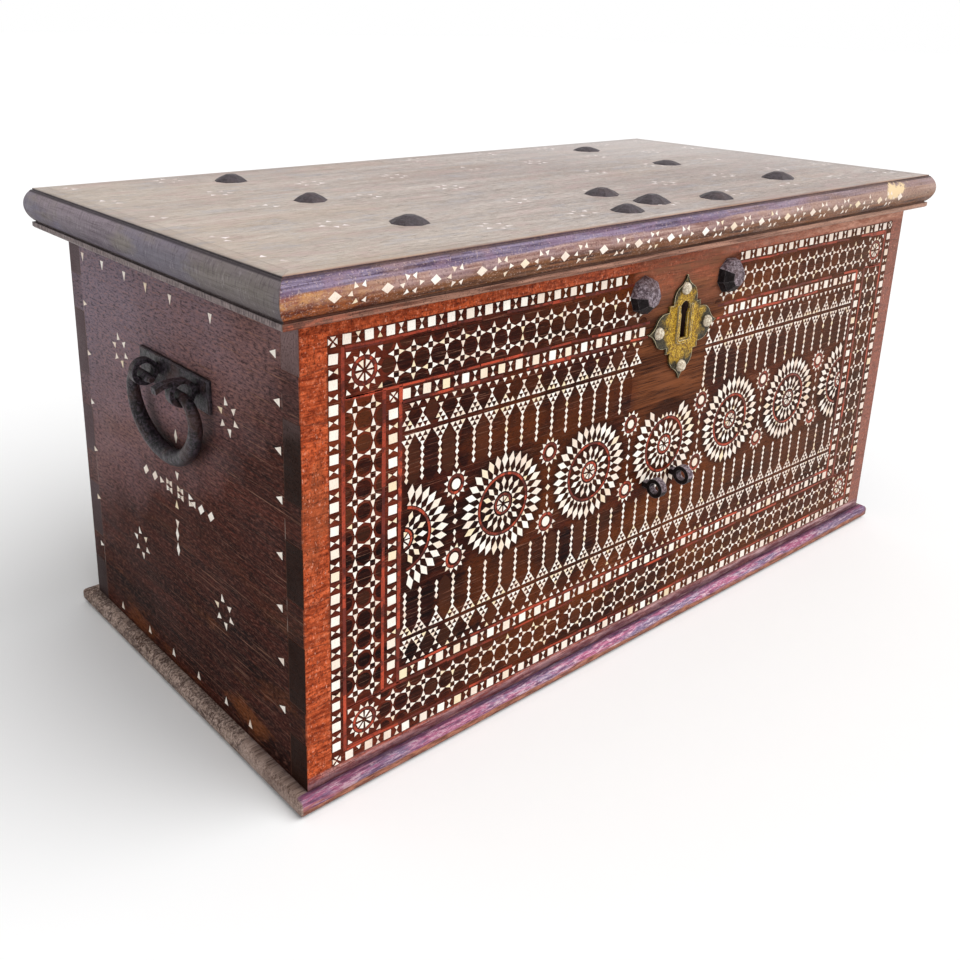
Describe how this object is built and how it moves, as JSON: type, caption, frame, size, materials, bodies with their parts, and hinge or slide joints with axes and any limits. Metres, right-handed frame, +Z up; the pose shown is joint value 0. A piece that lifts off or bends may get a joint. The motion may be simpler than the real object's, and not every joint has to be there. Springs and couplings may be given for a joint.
{
  "type": "dowry chest",
  "caption": "Dovetailed hardwood storage chest with hinged moulded lid, bone-inlaid front, brass keyhole plate, forged studs and iron drop handles.",
  "frame": {"origin": "on the floor, under the middle of the box between its four walls", "axes": "X along the front from left to right, the front looks towards -Y, +Z up"},
  "size_m": [0.9846, 0.4831, 0.4768],
  "materials": {
    "painted_front": "oiled hardwood with orange-red painted border and bone inlay",
    "side_teak": "old dark oiled hardwood",
    "back_teak": "plain aged hardwood",
    "bottom_front_board": "worn violet paint over hardwood",
    "bottom_teak": "grey weathered hardwood",
    "lid_teak": "bleached weathered hardwood",
    "painted_moulding": "worn violet and orange-red paint",
    "bare_moulding": "grey-brown weathered hardwood",
    "forged_iron": "hand-forged, dark, lightly worn",
    "old_brass": "aged and scratched",
    "nail_metal": "dull domed heads"
  },
  "bodies": {
    "chest": {"front_panel": "painted_front", "back_panel": "back_teak", "left_side_panel": "side_teak", "right_side_panel": "side_teak", "bottom_board_1": "bottom_front_board", "bottom_board_2": "bottom_teak", "bottom_board_3": "bottom_teak", "bottom_board_4": "bottom_teak", "bottom_nails": "forged_iron", "escutcheon": "old_brass", "escutcheon_nails": "nail_metal", "lock_case": "forged_iron", "lock_studs": "forged_iron", "padlock_eyes": "forged_iron", "left_handle_plate": "forged_iron", "left_handle_eyes": "forged_iron", "right_handle_plate": "forged_iron", "right_handle_eyes": "forged_iron", "hinge_leaf_left": "forged_iron", "hinge_leaf_right": "forged_iron", "hinge_pins": "forged_iron", "hinge_leaf_studs": "forged_iron"},
    "lid": {"lid_board_front": "lid_teak", "lid_board_back": "lid_teak", "lid_moulding_front": "painted_moulding", "lid_moulding_back": "bare_moulding", "lid_moulding_left": "bare_moulding", "lid_moulding_right": "bare_moulding", "lid_strap_left": "forged_iron", "lid_strap_right": "forged_iron", "lid_catch": "forged_iron", "lid_strap_studs": "forged_iron", "lid_catch_studs": "forged_iron"},
    "lock_bolt": {"lock_bolt": "forged_iron"},
    "left_handle": {"left_handle": "forged_iron"},
    "right_handle": {"right_handle": "forged_iron"}
  },
  "joints": [
    {"name": "lid_hinge", "type": "hinge", "parent": "chest", "child": "lid", "pos_m": [0, 0.2165, 0.4295], "axis": [-1, 0, 0], "range_deg": [0, 93]},
    {"name": "lock_bolt_slide", "type": "slide", "parent": "chest", "child": "lock_bolt", "axis": [1, 0, 0], "range_m": [0, 0.014]},
    {"name": "left_handle_swing", "type": "hinge", "parent": "chest", "child": "left_handle", "pos_m": [-0.468, -0.014, 0.331], "axis": [0, 1, 0], "range_deg": [0, 150]},
    {"name": "right_handle_swing", "type": "hinge", "parent": "chest", "child": "right_handle", "pos_m": [0.468, -0.014, 0.331], "axis": [0, -1, 0], "range_deg": [0, 150]}
  ]
}
